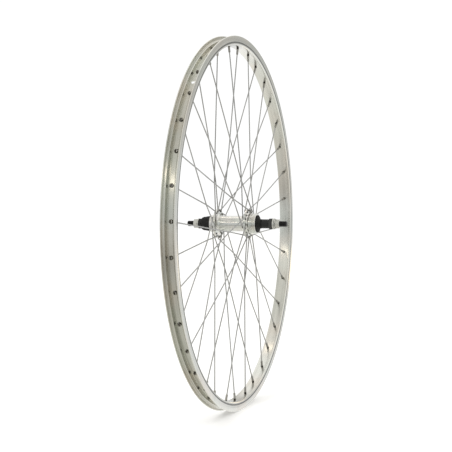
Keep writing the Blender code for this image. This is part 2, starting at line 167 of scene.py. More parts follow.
def grid_faces(rows, size, wrap=True, closed=True):
    """The faces of a grid of points numbered row by row. wrap joins its last row to its first."""
    lines = [range(row * size, (row + 1) * size) for row in range(rows)]
    following = lines[1:] + lines[:1] if wrap else lines[1:]
    return [face for a, b in zip(lines, following) for face in loop_faces(a, b, closed)]


def append_part(points, faces, more_points, more_faces):
    faces += [tuple(len(points) + i for i in face) for face in more_faces]
    points += more_points


def rounded(corners, arc=4, closed=True):
    """The outline through corners, with each fillet drawn as a short curve."""
    outline = []
    for i, (radius, y, fillet) in enumerate(corners):
        here = Vector((radius, y))
        at_end = not closed and i in (0, len(corners) - 1)
        if not fillet or at_end:
            outline.append((radius, y))
            continue
        before = Vector(corners[i - 1][:2]) - here
        after = Vector(corners[(i + 1) % len(corners)][:2]) - here
        reach = min(fillet / tan(before.angle(after) / 2), 0.48 * before.length, 0.48 * after.length)
        a, b = here + before.normalized() * reach, here + after.normalized() * reach
        for step in range(arc + 1):
            t = step / arc
            p = a * (1 - t) ** 2 + here * (2 * t * (1 - t)) + b * t**2
            outline.append((p.x, p.y))
    return outline


def mirrored(corners):
    return [(radius, -y, fillet) for radius, y, fillet in reversed(corners)]


def flipped(corners, side):
    """Corners drawn for the right side, moved to the given side."""
    return corners if side > 0 else mirrored(corners)


def revolved(outline, stations, closed=True, height=None):
    """Points and faces of an outline turned through the stations, a full turn.

    height(angle, radius, y) may move a point's radius.
    """
    points = []
    for angle in stations:
        for radius, y in outline:
            points.append(on_wheel(height(angle, radius, y) if height else radius, angle, y))
    return points, grid_faces(len(stations), len(outline), closed=closed)


def lathe(name, corners, segments, height=None):
    return finish_mesh(name, *revolved(rounded(corners), full_turn(segments), height=height))


def dense(outline, low, high, step):
    """The outline with its straight stretch between y low and high cut into short steps."""
    made = []
    ends = {round(low, 3), round(high, 3)}
    for i, (radius, y) in enumerate(outline):
        made.append((radius, y))
        next_radius, next_y = outline[(i + 1) % len(outline)]
        if abs(radius - next_radius) < 1e-6 and {round(y, 3), round(next_y, 3)} == ends:
            count = int(abs(next_y - y) / step)
            made += [(radius, y + (next_y - y) * k / count) for k in range(1, count)]
    return made


def thread_height(crest, low, high, pitch, depth, fade):
    """A height function for a right-hand thread cut between low and high, which fades out at its ends."""

    def height(angle, radius, y):
        if abs(radius - crest) > 0.01 or not low <= y <= high:
            return radius
        turn = (y / pitch + angle / (2 * pi)) % 1.0
        groove = max(0.0, min(1.0, abs(turn - 0.5) * 2.4 - 0.1))
        near_end = max(0.0, min(1.0, (y - low) / fade, (high - y) / fade))
        return radius - depth * (1 - groove) * near_end

    return height


def hole_rings(add, stretch, angles, mouth, directions):
    """Rings of points from a band's edge in one sector, over its face and into its hole.

    Also the rings' directions round the hole, which the hole's other mouth takes over.
    """
    place, radius, bevel, sink = mouth
    middle = (angles[0] + angles[-1]) / 2
    flat = abs(stretch[0][1] - stretch[-1][1]) < 1e-6
    fixed = stretch[0][1] if flat else stretch[0][0]

    def local(angle, value):
        """(across, along) from the hole's centre, for a place on the band."""
        if flat:
            return value * sin(angle - middle), value * cos(angle - middle) - place
        return (angle - middle) * fixed, value - place

    def spot(across, along, depth=0.0):
        if flat:
            angle = middle + atan2(across, place + along)
            return hypot(place + along, across), angle, fixed + sink * depth
        return fixed + sink * depth, middle + across / fixed, place + along

    # The edges of both bands run the same way round, so that the hole's mouths can be joined.
    values = sorted(r if flat else y for r, y in stretch)
    edge = [(angle, values[0]) for angle in angles]
    edge += [(angles[-1], v) for v in values[1:]]
    edge += [(angle, values[-1]) for angle in reversed(angles[:-1])]
    edge += [(angles[0], v) for v in reversed(values[1:-1])]
    starts = [local(angle, v) for angle, v in edge]
    directions = directions or [atan2(along, across) for across, along in starts]
    rings = [[add(v if flat else fixed, angle, fixed if flat else v) for angle, v in edge]]
    for share in (0.55, 0.82, 0.95, 1.0):
        ring = []
        for (across, along), way in zip(starts, directions):
            to_across, to_along = (radius + bevel) * cos(way), (radius + bevel) * sin(way)
            across, along = across + (to_across - across) * share, along + (to_along - along) * share
            ring.append(add(*spot(across, along)))
        rings.append(ring)
    rings.append([add(*spot(radius * cos(way), radius * sin(way), bevel)) for way in directions])
    return rings, directions


def pierced_sweep(outline, sectors, holes, bands, groove=(None, None)):
    """Points and faces of a turned piece with round holes, built without cutting.

    sectors: the angles in each sector, whose ends are shared. bands: each band's first and last index
    in the outline. holes: for a sector, its mouths (band, place, radius, bevel, sink), where place is
    the hole's y on a cylinder or its radius on a flat face, and sink is +1 or -1, the way the hole
    goes in along the radius or y. groove: an angle, and the outline there.
    """
    points, faces = [], []

    def add(radius, angle, y):
        points.append(on_wheel(radius, angle, y))
        return len(points) - 1

    for index, angles in enumerate(sectors):
        mouths = holes.get(index, ())
        pierced = {i for band, *_ in mouths for i in range(*bands[band])}
        rows = []
        for angle in angles:
            section = groove[1] if angle == groove[0] else outline
            rows.append([add(radius, angle, y) for radius, y in section])
        for a, b in zip(rows, rows[1:]):
            faces += [face for i, face in enumerate(loop_faces(a, b)) if i not in pierced]
        inner, directions = [], None
        for band, *mouth in mouths:
            first, last = bands[band]
            rings, directions = hole_rings(add, outline[first : last + 1], angles, mouth, directions)
            for a, b in zip(rings, rings[1:]):
                faces += loop_faces(a, b)
            inner.append(rings[-1])
        for a, b in zip(inner, inner[1:]):
            faces += loop_faces(a, b)
    return points, faces


def shrunk(outline, depth):
    """The outline moved into its solid by depth, whichever way round it runs."""
    moved = []
    area = sum(a[0] * b[1] - b[0] * a[1] for a, b in zip(outline, outline[1:] + outline[:1]))
    sign = 1 if area > 0 else -1
    for i, (radius, y) in enumerate(outline):
        before, after = outline[i - 1], outline[(i + 1) % len(outline)]
        way = Vector((after[0] - before[0], after[1] - before[1])).normalized()
        moved.append((radius - sign * way.y * depth, y + sign * way.x * depth))
    return moved


def with_bands(outline, bands, rows):
    """The outline with each band, given by its ends, cut into rows, and the bands' first and last indices."""

    def index_of(spot):
        return min(range(len(outline)), key=lambda i: hypot(outline[i][0] - spot[0], outline[i][1] - spot[1]))

    for start, end in bands.values():
        first = index_of(start)
        steps = [tuple(a + (b - a) * k / rows for a, b in zip(start, end)) for k in range(1, rows)]
        outline = outline[: first + 1] + steps + outline[first + 1 :]
    return outline, {name: (index_of(start), index_of(start) + rows) for name, (start, _) in bands.items()}


def even_sectors(count, columns):
    width = 2 * pi / count
    return [[WHEEL_PHASE + width * (s - 0.5 + c / columns) for c in range(columns + 1)] for s in range(count)]


def inner_stations(sectors):
    return [angle for angles in sectors for angle in angles[:-1]]


# ---- rim


def rim_corners():
    """The rim's section over its right half, from the bed's edge round to the well's."""
    return [
        (BED_RADIUS, BED_HALF, 0),
        (BED_RADIUS + 0.3, 10.2, 1.4),
        (BED_RADIUS + 2.2, 11.3, 1.2),
        (BED_RADIUS + 4.1, 11.6, 0.35),
        (BED_RADIUS + 4.35, 11.05, 0.25),
        (BED_RADIUS + 5.35, 11.05, 0.25),
        (BED_RADIUS + 5.6, 11.67, 0.2),
        (316.3, 11.68, 0.6),
        (316.95, 11.1, 0.35),
        (316.9, 10.5, 0.35),
        (316.2, 9.95, 0.3),
        (315.1, 9.95, 0.3),
        (314.2, 10.3, 0.6),
        (310.95, 10.35, 0.7),
        (310.75, 7.1, 0.9),
        (309.9, 6.3, 0.5),
        (WELL_RADIUS, 6.15, 0.75),
        (WELL_RADIUS, WELL_HALF, 0),
    ]


def make_rim(name):
    """The rim, with its spoke holes, valve hole, joint and hollow sides."""
    corners = rim_corners()
    brake_foot = 7
    below, above = mirrored(corners[:brake_foot]), mirrored(corners[brake_foot:])
    ends = {
        "well": ((WELL_RADIUS, WELL_HALF), (WELL_RADIUS, -WELL_HALF)),
        "bed": ((BED_RADIUS, -BED_HALF), (BED_RADIUS, BED_HALF)),
    }
    outline, bands = with_bands(rounded([*below, *corners, *above], 3), ends, RIM_ROWS)
    sectors = even_sectors(RIM_SECTORS, RIM_COLUMNS)
    holes = {VALVE_SECTOR: [("bed", 0, 4.1, 0.35, 1), ("well", 0, 4.0, 0.12, -1)]}
    for k in range(SPOKE_COUNT):
        place = RIM_HOLE_OFFSET if k % 2 == 0 else -RIM_HOLE_OFFSET
        holes[2 * k] = [("bed", place, RIM_HOLE_RADIUS, 0.18, 1), ("well", place, RIM_HOLE_RADIUS, 1.1, -1)]
    # The joint is a hairline groove.
    middle, groove_half, groove_depth = RIM_COLUMNS // 2, 0.22 / BED_RADIUS, 0.2
    seam = sectors[SEAM_SECTOR][middle]
    sectors[SEAM_SECTOR][middle : middle + 1] = [seam - groove_half, seam, seam + groove_half]
    points, faces = pierced_sweep(outline, sectors, holes, bands, (seam, shrunk(outline, groove_depth)))
    solid_faces = len(faces)
    # The hollow chamber in each side, where the joint's pins lie.
    chamber = [(309.2, 7.5, 0.6), (309.2, 10.2, 0.6), (302.8, 10.2, 0.8), (302.8, 7.5, 0.6)]
    for _, side in SIDES:
        loop = rounded(flipped(chamber, side), 2)
        append_part(points, faces, *revolved(loop, inner_stations(sectors)[::4]))
    return finish_mesh(name, points, faces, 30, solid_faces)


def make_joint_pin(name, side):
    """The knurled insert across the rim's joint."""
    middle = Vector((306.0, side * 8.85))
    half_angle = 19 / middle.x
    count = 60
    corners = [(308.8, 7.85, 0.7), (308.8, 9.85, 0.7), (303.2, 9.85, 0.7), (303.2, 7.85, 0.7)]
    block = rounded(flipped(corners, side), 3)
    points = []
    for i in range(count + 1):
        angle = SEAM_ANGLE + half_angle * (2 * i / count - 1)
        taper = 0.82 if i in (0, count) else 0.97 if i % 2 else 1.0
        for corner in block:
            radius, y = middle + (Vector(corner) - middle) * taper
            points.append(on_wheel(radius, angle, y))
    size = len(block)
    faces = grid_faces(count + 1, size, wrap=False)
    faces += [tuple(range(size)), tuple(range(count * size, (count + 1) * size))]
    return finish_mesh(name, points, faces, 20)


# ---- spokes and nipples


def tube(path, radii, sides):
    """Points and faces of a closed round tube along a path, with its frame carried along it."""
    points = []
    across = (path[1] - path[0]).orthogonal()
    for i, (here, radius) in enumerate(zip(path, radii)):
        along = (path[min(i + 1, len(path) - 1)] - path[max(i - 1, 0)]).normalized()
        across = (across - along * across.dot(along)).normalized()
        up = along.cross(across)
        points += [here + (across * cos(turn) + up * sin(turn)) * radius for turn in full_turn(sides)]
    last = (len(path) - 1) * sides
    faces = grid_faces(len(path), sides, wrap=False)
    return points, faces + [tuple(range(sides)), tuple(range(last, last + sides))]


def spoke_places(k):
    """Spoke k's flange hole, its ways through and along the flange, its last crossing and its seat."""
    outboard, flange_y = (1, FLANGE_RIGHT) if k % 2 == 0 else (-1, FLANGE_LEFT)
    rim_angle = k * HOLE_STEP + WHEEL_PHASE
    lean = 1 if k % 4 in (0, 3) else -1
    leaves = -outboard * lean
    hole_angle = rim_angle - lean * LACING_ANGLE
    hole = on_wheel(FLANGE_HOLE_CIRCLE, hole_angle)
    bed = on_wheel(BED_RADIUS, rim_angle)
    ray = on_wheel(1, hole_angle + lean * LAST_CROSSING_ANGLE)
    hole_side, bed_side = ray.cross(hole).y, ray.cross(bed).y
    share = hole_side / (hole_side - bed_side)
    rim_y = outboard * RIM_HOLE_OFFSET
    crossing = hole.lerp(bed, share)
    crossing.y = flange_y + (rim_y - flange_y) * share - leaves * (SPOKE_RADIUS + 0.15)
    seat = bed + Vector((0, rim_y, 0))
    return hole + Vector((0, flange_y, 0)), Vector((0, leaves, 0)), (bed - hole).normalized(), crossing, seat


def make_spoke(name, k):
    hole, across, along, crossing, seat = spoke_places(k)
    elbow = 2.0
    start = FLANGE_HALF + SPOKE_RADIUS + 0.7 - elbow
    under = -FLANGE_HALF - 0.3
    # The upset head: a low dome, its rim, and the cone under it, as (depth, radius).
    head = [(-1.0, 0.5), (-0.96, 1.1), (-0.82, 1.55), (-0.6, 1.82), (-0.42, 1.88), (-0.22, 1.8)]
    head += [(0, 1.08), (0.25, 1.0)]
    path = [hole + across * (under + depth) for depth, _ in head]
    path += [hole + across * (start + depth) for depth in (-0.6, -0.3)]
    for step in range(9):
        bend = step / 8 * pi / 2
        path.append(hole + across * (start + elbow * sin(bend)) + along * elbow * (1 - cos(bend)))
    # A gentle bend where it passes its partner.
    bend_end = path[-1]
    arriving = (crossing - bend_end).normalized()
    leaving = (seat - crossing).normalized()
    soft = 9.0
    a, b = crossing - arriving * soft, crossing + leaving * soft
    path += [bend_end.lerp(a, t) for t in (0.33, 0.66)]
    for step in range(7):
        t = step / 6
        path.append(a * (1 - t) ** 2 + crossing * (2 * t * (1 - t)) + b * t**2)
    end = seat + leaving * 2.0
    path += [b.lerp(end, t) for t in (0.25, 0.5, 0.75, 0.9)]
    radii = [radius for _, radius in head] + [SPOKE_RADIUS] * (len(path) - len(head)) + [0.95]
    return finish_mesh(name, *tube(path + [end], radii, 12), 40)


def make_nipple(name, k):
    """A slotted brass nipple, nickel plated: a squared shank, a round body and a head in the well."""
    *_, crossing, seat = spoke_places(k)
    along = (seat - crossing).normalized()
    bore, body = SPOKE_RADIUS + 0.06, 2.0
    floor = WELL_RADIUS - BED_RADIUS
    slot_floor, slot_half = floor + 1.3, 0.62
    # (height above the bed, radius, half the width over the flats)
    stages = [
        (-11.5, bore, 0),
        (-11.5, 1.32, 0),
        (-11.2, 1.6, 1.5),
        (-10.7, 1.98, 1.6),
        (-4.4, 1.98, 1.62),
        (-4.0, body, 1.75),
        (-3.6, body, 0),
        (floor + 0.15, body, 0),
        (floor + 1.0, 2.85, 0),
        (floor + 1.25, 3.0, 0),
        (floor + 1.6, 2.98, 0),
        (floor + 2.1, 2.62, 0),
        (floor + 2.35, 2.0, 0),
        (floor + 2.4, bore + 0.15, 0),
        (floor + 1.9, bore, 0),
    ]
    sides = 32
    across = along.cross(Vector((0, 1, 0))).normalized()
    up = along.cross(across)
    points = []
    for height, radius, flat in stages:
        for s in range(sides):
            turn = 2 * pi * (s + 0.5) / sides
            reach = min(radius, flat / max(abs(cos(turn)), abs(sin(turn)))) if flat else radius
            in_slot = abs(sin(turn)) * radius < slot_half and height > slot_floor
            level = slot_floor if in_slot else height
            points.append(seat + along * level + (across * cos(turn) + up * sin(turn)) * reach)
    return finish_mesh(name, points, grid_faces(len(stages), sides), 32)


# ---- hub


def flange_corners(y):
    """A flange's section from the foot of its right face, over its edge, to the foot of its left face."""
    right, left = y + FLANGE_HALF, y - FLANGE_HALF
    return [
        (FLANGE_FOOT, right, 0),
        (FLANGE_SHOULDER, right, 0),
        (FLANGE_RADIUS, right, 0.75),
        (FLANGE_RADIUS, left, 0.75),
        (FLANGE_SHOULDER, left, 0),
        (FLANGE_FOOT, left, 0),
    ]


def flare_corners(face, way):
    """The barrel's section from a flange's inner face, going in direction way to the hub's middle."""
    steps = [(17.6, 0, 2.2), (14.6, 2.4, 3.0), (13.6, 6.5, 4.0), (13.4, 11, 3.0)]
    return [(radius, face + way * out, fillet) for radius, out, fillet in steps]


def shell_corners():
    """The hub shell's section, from the right end over the outside to the left end, and back inside."""
    cup_right, cup_left = SHELL_RIGHT - CUP_DEPTH, SHELL_LEFT + CUP_DEPTH
    shoulder, undercut, bore = 18.2, 16.65, 10.4
    return [
        (CUP_BORE, SHELL_RIGHT, 0.2),
        (16.7, SHELL_RIGHT, 0.3),
        (THREAD_RADIUS, THREAD_HIGH, 0),
        (THREAD_RADIUS, THREAD_LOW, 0),
        (undercut, SEAT_Y + 2.4, 0.1),
        (undercut, SEAT_Y, 0.15),
        (shoulder, SEAT_Y, 0.25),
        (shoulder, FLANGE_RIGHT + FLANGE_HALF + 1.1, 0.5),
        (19.6, FLANGE_RIGHT + FLANGE_HALF, 0.7),
        *flange_corners(FLANGE_RIGHT),
        *flare_corners(FLANGE_RIGHT - FLANGE_HALF, -1),
        *reversed(flare_corners(FLANGE_LEFT + FLANGE_HALF, 1)),
        *flange_corners(FLANGE_LEFT),
        (16.6, FLANGE_LEFT - FLANGE_HALF, 1.0),
        (15.3, FLANGE_LEFT - FLANGE_HALF - 1.4, 0.7),
        (14.8, FLANGE_LEFT - FLANGE_HALF - 4.0, 0.8),
        (14.8, SHELL_LEFT, 0.4),
        (CUP_BORE, SHELL_LEFT, 0.2),
        (CUP_BORE, cup_left, 0.2),
        (bore, cup_left, 0.3),
        (bore, cup_right, 0.3),
        (CUP_BORE, cup_right, 0.2),
    ]


def on_thread(point):
    x, y, z = point
    near = 1e-3
    return abs(hypot(x, z) - THREAD_RADIUS) < near and THREAD_LOW - near <= y <= THREAD_HIGH + near


def make_hub_shell(name):
    ends = {}
    for y in (FLANGE_RIGHT, FLANGE_LEFT):
        right, left = y + FLANGE_HALF, y - FLANGE_HALF
        ends[y, 1] = ((FLANGE_FOOT, right), (FLANGE_SHOULDER, right))
        ends[y, -1] = ((FLANGE_SHOULDER, left), (FLANGE_FOOT, left))
    outline, bands = with_bands(rounded(shell_corners()), ends, FLANGE_ROWS)
    sectors = even_sectors(SPOKE_COUNT, FLANGE_COLUMNS)
    holes = {}
    for k in range(SPOKE_COUNT):
        y = FLANGE_RIGHT if k % 2 == 0 else FLANGE_LEFT
        holes[k] = [((y, face), FLANGE_HOLE_CIRCLE, FLANGE_HOLE_RADIUS, 0.28, -face) for face in (1, -1)]
    # The freewheel's thread goes on as its own fine grid.
    points, faces = pierced_sweep(outline, sectors, holes, bands)
    kept = [face for face in faces if not all(on_thread(points[i]) for i in face)]
    count = 52
    rows = [(THREAD_RADIUS, THREAD_LOW + (THREAD_HIGH - THREAD_LOW) * i / count) for i in range(count + 1)]
    height = thread_height(THREAD_RADIUS, THREAD_LOW, THREAD_HIGH, FREEWHEEL_PITCH, depth=0.55, fade=0.5)
    append_part(points, kept, *revolved(rows, inner_stations(sectors), False, height))
    return finish_mesh(name, points, kept, 28)


def race_arc(start, end):
    """The race's section, between two angles in degrees round a ball's centre."""
    count = 9
    reach = BALL_RADIUS + 0.06
    turns = [radians(start + (end - start) * i / (count - 1)) for i in range(count)]
    return [(BALL_CIRCLE + reach * sin(turn), reach * cos(turn), 0) for turn in turns]


def placed(corners, side, plane):
    """Corners drawn outwards from the balls' plane, moved to their side of the hub."""
    return flipped([(radius, plane + out, fillet) for radius, out, fillet in corners], side)


def make_cup(name, side, plane):
    corners = [(12.9, 3.6, 0.3), (13.65, 3.6, 0.3), (13.65, -5.1, 0.5), (8.5, -5.1, 0.5), (8.5, -3.7, 0.3)]
    return lathe(name, placed(corners + race_arc(168, 86), side, plane), 72)


def make_cone(name, side, plane, end):
    """A cone with two flats for its spanner."""
    out = end - plane
    flat_half, flat_start = 6.5, 6.3
    corners = [(NUT_BORE, out, 0.2), (7.5, out, 0.3), (7.5, 6.2, 0.2), (8.3, 5.6, 0.3), (8.3, 3.6, 0.2)]
    corners += race_arc(-16, -94) + [(6.1, -1.6, 0.3), (NUT_BORE, -1.6, 0.2)]

    def height(angle, radius, y):
        on_flat = abs(y) - plane > flat_start and abs(sin(angle)) * radius > flat_half
        return flat_half / abs(sin(angle)) if on_flat else radius

    return lathe(name, placed(corners, side, plane), 72, height)


def make_dust_cap(name, side, plane):
    corners = [(8.7, 5.2, 0.15), (9.2, 5.2, 0.2), (10.2, 4.6, 0.3), (12.6, 4.6, 0.3), (13.1, 5.2, 0.3)]
    corners += [(13.6, 5.2, 0.2), (13.6, 4.0, 0.2), (9.9, 4.0, 0.3), (8.7, 4.7, 0.15)]
    return lathe(name, placed(corners, side, plane), 72)


def ball(centre, out):
    """Points and faces of a ball, whose grid starts in the direction out."""
    rings, sides = 14, 20
    around = Vector((0, 1, 0)).cross(out)
    points = []
    for ring in range(rings + 1):
        tilt = pi * ring / rings
        for turn in full_turn(sides):
            way = (out * cos(turn) + around * sin(turn)) * sin(tilt) + Vector((0, cos(tilt), 0))
            points.append(centre + way * BALL_RADIUS)
    return points, grid_faces(rings + 1, sides, wrap=False)


def make_ball_cage(name, side, plane):
    """Nine balls in a pressed steel retainer, whose fingers reach between them."""
    points, faces = [], []
    for angle in full_turn(BALL_COUNT):
        append_part(points, faces, *ball(on_wheel(BALL_CIRCLE, angle, side * plane), on_wheel(1, angle)))
    # The retainer is a ring on the balls' outer side, scalloped round each ball.
    stations, sheet = 180, 0.4
    ring = []
    for angle in full_turn(stations):
        share = 0.5 + 0.5 * cos(BALL_COUNT * angle)  # 1 over a ball
        inner, outer = BALL_CIRCLE - 1.3 + 0.5 * share, BALL_CIRCLE + 1.35 - 0.45 * share
        depth = 0.9 + 2.35 * share
        for radius, out in ((inner, depth), (outer, depth), (outer, depth + sheet), (inner, depth + sheet)):
            ring.append(on_wheel(radius, angle, side * (plane + out)))
    append_part(points, faces, ring, grid_faces(stations, 4))
    return finish_mesh(name, points, faces, 40)


# ---- axle pieces


def make_axle(name):
    """A solid axle, threaded from both ends."""
    chamfer, thread_start = 0.9, 64.0
    thread_end = AXLE_END - chamfer
    corners = [
        (0, AXLE_END, 0),
        (AXLE_RADIUS - chamfer, AXLE_END, 0.15),
        (AXLE_RADIUS, thread_end, 0),
        (AXLE_RADIUS, thread_start, 0),
        (4.3, thread_start - 0.5, 0),
    ]
    outline = rounded(corners + mirrored(corners), 3, False)
    for _, side in SIDES:
        outline = dense(outline, side * thread_start, side * thread_end, 0.1)
    height = thread_height(AXLE_RADIUS, -AXLE_END, AXLE_END, AXLE_PITCH, depth=0.5, fade=1.2)
    return finish_mesh(name, *revolved(outline, full_turn(40), False, height), 50)


def hexagon(angle, across_flats):
    """The radius of a hexagon with slightly rounded corners."""
    sixth = (angle % (pi / 3)) - pi / 6
    flat = across_flats / 2
    return min(flat / cos(sixth), flat / cos(pi / 6) * 0.988)


def make_nut(name, across_flats, low, high):
    """A hexagon nut, chamfered at both ends and in its bore."""
    face, bevel = across_flats / 2 * 0.965, 0.35
    count = 120
    points = []
    for angle in full_turn(count):
        corner = hexagon(angle, across_flats)
        drop = (corner - face) * tan(radians(30))
        column = [(NUT_BORE + bevel, low), (face, low), (corner, low + drop), (corner, high - drop)]
        column += [(face, high), (NUT_BORE + bevel, high), (NUT_BORE, high - bevel), (NUT_BORE, low + bevel)]
        points += [on_wheel(radius, angle, y) for radius, y in column]
    return finish_mesh(name, points, grid_faces(count, len(column)), 20)


def make_washer(name, low, high, outer, serrated=False):
    """A pressed washer. Its serrated face has radial teeth that bite the frame."""
    inner, bevel, tooth = PLAIN_BORE, 0.15, 0.16
    count = 144
    points = []
    for s, angle in enumerate(full_turn(count)):
        bite = tooth if serrated and s % 4 in (0, 1) else 0.0
        column = [(inner, high - bevel), (inner + bevel, high), (outer - 0.3, high), (outer, high - 0.3)]
        column += [(outer, low + 0.3), (outer - 0.3, low + bite), (6.6, low + bite), (6.3, low)]
        column += [(inner + bevel, low), (inner, low + bevel)]
        points += [on_wheel(radius, angle, y) for radius, y in column]
    return finish_mesh(name, points, grid_faces(count, len(column)), 25)


def make_spacer(name, low, high, outer, fillet, segments):
    corners = [(PLAIN_BORE, high, 0.2), (outer, high, fillet), (outer, low, fillet), (PLAIN_BORE, low, 0.2)]
    return lathe(name, corners, segments)


def make_boot(name):
    """The left cone's rubber boot: a lip at the hub, a tapering body with moulded rings, and a collar."""
    corners = [
        (13.1, -45.65, 0.2),
        (13.4, -46.0, 0.3),
        (13.45, -47.6, 0.3),
        (12.95, -48.0, 0.2),
        (12.7, -51.6, 0.2),
        (12.4, -51.9, 0.15),
        (12.3, -52.4, 0.15),
        (12.4, -52.7, 0.15),
        (11.6, -58.2, 0.3),
        (11.65, -59.3, 0.2),
        (11.45, -59.6, 0.2),
        (10.75, -60.0, 0.3),
        (10.55, -61.6, 0.3),
        (10.2, -61.95, 0.2),
        (9.4, -61.95, 0.2),
        (9.4, -60.0, 0.5),
        (11.9, -46.1, 0.3),
        (12.1, -45.65, 0.1),
    ]
    return lathe(name, corners, 96)


def make_bell(name):
    """The flared seal over the right bearing, like a small trumpet's mouth."""
    corners = [
        (5.0, 45.45, 0.1),
        (7.85, 45.45, 0.3),
        (8.0, 42.7, 1.0),
        (9.0, 41.1, 1.2),
        (11.6, 40.0, 1.4),
        (14.2, 39.0, 0.8),
        (14.75, 38.4, 0.3),
        (14.75, 37.75, 0.2),
        (14.0, 37.75, 0.2),
        (13.5, 38.2, 0.5),
        (11.2, 39.1, 1.2),
        (8.5, 40.1, 0.8),
        (7.75, 40.9, 0.4),
        (7.75, 41.75, 0.2),
        (5.0, 41.75, 0.1),
    ]
    return lathe(name, corners, 96)


# ---- materials


class Nodes:
    """A node tree, with short names for the nodes it takes."""

    def __init__(self, tree):
        self.tree = tree

    def node(self, kind, **values):
        made = self.tree.nodes.new(kind)
        for key, value in values.items():
            setattr(made, key, value)
        return made

    def link(self, source, target):
        self.tree.links.new(source, target)

    def feed(self, socket, value):
        """Sets a socket to a number or a colour, or links an output to it."""
        if isinstance(value, (int, float)):
            socket.default_value = value
        elif isinstance(value, tuple):
            socket.default_value = (*value, 1)
        else:
            self.link(value, socket)

    def maths(self, operation, *values, clamp=False):
        made = self.node("ShaderNodeMath", operation=operation, use_clamp=clamp)
        for socket, value in zip(made.inputs, values):
            self.feed(socket, value)
        return made.outputs[0]

    def times(self, a, b):
        return self.maths("MULTIPLY", a, b)

    def scaled(self, value, factor, more, clamp=False):
        """value * factor + more."""
        return self.maths("ADD", self.times(value, factor), more, clamp=clamp)

    def ramp(self, source, stops):
        made = self.node("ShaderNodeValToRGB")
        elements = made.color_ramp.elements
        while len(elements) < len(stops):
            elements.new(0.5)
        for element, (place, colour) in zip(elements, stops):
            element.position = place
            element.color = (*colour, 1) if isinstance(colour, tuple) else (colour, colour, colour, 1)
        self.link(source, made.inputs[0])
        return made.outputs[0]


class Finish(Nodes):
    """A procedural material on a Principled shader."""

    def __init__(self, name):
        self.material = bpy.data.materials.new(name)
        self.material.use_nodes = True
        super().__init__(self.material.node_tree)
        self.shader = self.tree.nodes["Principled BSDF"]

    def vector(self, x, y, z):
        made = self.node("ShaderNodeCombineXYZ")
        for socket, value in zip(made.inputs, (x, y, z)):
            self.feed(socket, value)
        return made.outputs[0]

    def noise(self, vector, scale, detail=2.0, w=None, roughness=0.5):
        made = self.node("ShaderNodeTexNoise", noise_dimensions="3D" if w is None else "4D")
        made.inputs["Scale"].default_value = scale
        made.inputs["Detail"].default_value = detail
        made.inputs["Roughness"].default_value = roughness
        self.link(vector, made.inputs["Vector"])
        if w is not None:
            self.link(w, made.inputs["W"])
        return made.outputs["Fac"]

    def mix(self, share, a, b, blend="MIX"):
        made = self.node("ShaderNodeMix", data_type="RGBA", blend_type=blend)
        for index, value in ((0, share), (6, a), (7, b)):
            self.feed(made.inputs[index], value)
        return made.outputs[2]

    def darken(self, share, colour, source, stops):
        """The colour times a ramp over the source, by the share."""
        return self.mix(share, colour, self.ramp(source, stops), "MULTIPLY")

    def between(self, value, low, high):
        """1 between low and high, 0 outside, with a soft edge."""
        above = self.maths("MULTIPLY", self.maths("SUBTRACT", value, low), 4.0, clamp=True)
        below = self.maths("MULTIPLY", self.maths("SUBTRACT", high, value), 4.0, clamp=True)
        return self.times(above, below)

    def bump(self, height, strength, distance):
        made = self.node("ShaderNodeBump")
        made.inputs["Strength"].default_value = strength
        made.inputs["Distance"].default_value = distance * MM
        self.link(height, made.inputs["Height"])
        self.link(made.outputs[0], self.shader.inputs["Normal"])

    def glow(self, colour, strength):
        self.shader.inputs["Emission Color"].default_value = (*colour, 1)
        self.shader.inputs["Emission Strength"].default_value = strength

    def set(self, colour, roughness, metallic, **more):
        self.feed(self.shader.inputs["Base Color"], colour)
        self.feed(self.shader.inputs["Roughness"], roughness)
        self.shader.inputs["Metallic"].default_value = metallic
        for name, value in more.items():
            self.shader.inputs[name.replace("_", " ")].default_value = value
        return self.material


class WheelFinish(Finish):
    """A finish that knows the place on the wheel, in millimetres."""

    def __init__(self, name):
        super().__init__(name)
        parts = self.node("ShaderNodeSeparateXYZ")
        self.link(self.node("ShaderNodeTexCoord").outputs["Object"], parts.inputs[0])
        self.x, self.y, self.z = (self.times(parts.outputs[i], 1 / MM) for i in range(3))
        self.place = self.vector(self.x, self.y, self.z)
        squares = self.maths("ADD", self.times(self.x, self.x), self.times(self.z, self.z))
        self.radius = self.maths("SQRT", squares)

    def turned_lines(self, fineness, wander):
        """Noise drawn out round the wheel, as turning and polishing leave it."""
        safe = self.maths("MAXIMUM", self.radius, 0.001)
        cosine, sine = self.maths("DIVIDE", self.x, safe), self.maths("DIVIDE", self.z, safe)
        radius, y = self.times(self.radius, fineness), self.times(self.y, fineness)
        spot = self.vector(radius, y, self.times(cosine, wander))
        return self.noise(spot, 1.0, 3.0, self.times(sine, wander), 0.6)


